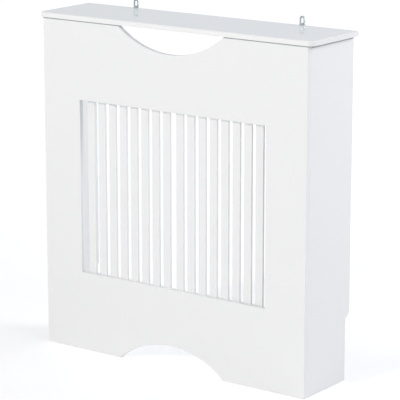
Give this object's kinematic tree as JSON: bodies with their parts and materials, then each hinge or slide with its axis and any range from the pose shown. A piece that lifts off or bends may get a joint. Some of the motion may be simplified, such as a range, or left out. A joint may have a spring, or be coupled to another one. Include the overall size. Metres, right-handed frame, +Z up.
{
  "type": "radiator cover cabinet",
  "caption": "White slatted cabinet that hangs over a wall radiator: shelf, fronted window of upright slats, scooped top and arched foot, open back and bottom.",
  "frame": {"origin": "on the floor, under the middle of the cabinet's box: half way across its width and half way from the shelf's front edge to the wall", "axes": "+X to the right as seen from the room, +Y towards the wall, +Z up"},
  "size_m": [0.78, 0.19, 0.8415],
  "materials": {
    "painted_shelf": "MDF, white paint, glossy",
    "painted_front": "MDF, white paint, satin",
    "painted_side": "MDF, white paint, satin",
    "painted_slat": "MDF strip, white paint, satin",
    "painted_rail": "MDF strip, thin white paint",
    "hanger_steel": "bent strip, zinc plated",
    "screw_zinc": "zinc plated",
    "cast_zinc": "die-cast, dull",
    "dowel_beech": "turned beech, unfinished"
  },
  "bodies": {
    "root": {"top_shelf": "painted_shelf", "front_panel": "painted_front", "left_side_panel": "painted_side", "right_side_panel": "painted_side", "slat_01": "painted_slat", "slat_02": "painted_slat", "slat_03": "painted_slat", "slat_04": "painted_slat", "slat_05": "painted_slat", "slat_06": "painted_slat", "slat_07": "painted_slat", "slat_08": "painted_slat", "slat_09": "painted_slat", "slat_10": "painted_slat", "slat_11": "painted_slat", "slat_12": "painted_slat", "slat_13": "painted_slat", "slat_14": "painted_slat", "slat_15": "painted_slat", "slat_16": "painted_slat", "lower_rail_left": "painted_rail", "lower_rail_right": "painted_rail", "upper_rail_left": "painted_rail", "upper_rail_right": "painted_rail", "rail_screw_lower_left_unit_left": "screw_zinc", "rail_screw_lower_left_unit_right": "screw_zinc", "rail_screw_lower_right_unit_left": "screw_zinc", "rail_screw_lower_right_unit_right": "screw_zinc", "rail_screw_upper_left_unit_left": "screw_zinc", "rail_screw_upper_left_unit_right": "screw_zinc", "rail_screw_upper_right_unit_left": "screw_zinc", "rail_screw_upper_right_unit_right": "screw_zinc", "cam_bolt_left_front_lower": "screw_zinc", "cam_bolt_left_front_upper": "screw_zinc", "cam_bolt_left_shelf_front": "screw_zinc", "cam_bolt_left_shelf_rear": "screw_zinc", "cam_bolt_right_front_lower": "screw_zinc", "cam_bolt_right_front_upper": "screw_zinc", "cam_bolt_right_shelf_front": "screw_zinc", "cam_bolt_right_shelf_rear": "screw_zinc", "cam_lock_left_front_lower": "cast_zinc", "cam_lock_left_front_upper": "cast_zinc", "cam_lock_left_shelf_front": "cast_zinc", "cam_lock_left_shelf_rear": "cast_zinc", "cam_lock_right_front_lower": "cast_zinc", "cam_lock_right_front_upper": "cast_zinc", "cam_lock_right_shelf_front": "cast_zinc", "cam_lock_right_shelf_rear": "cast_zinc", "dowel_left_front": "dowel_beech", "dowel_left_shelf": "dowel_beech", "dowel_right_front": "dowel_beech", "dowel_right_shelf": "dowel_beech", "hanger_plate_left": "hanger_steel", "hanger_plate_right": "hanger_steel", "hanger_screw_left_front": "screw_zinc", "hanger_screw_left_rear": "screw_zinc", "hanger_screw_right_front": "screw_zinc", "hanger_screw_right_rear": "screw_zinc"}
  },
  "joints": []
}
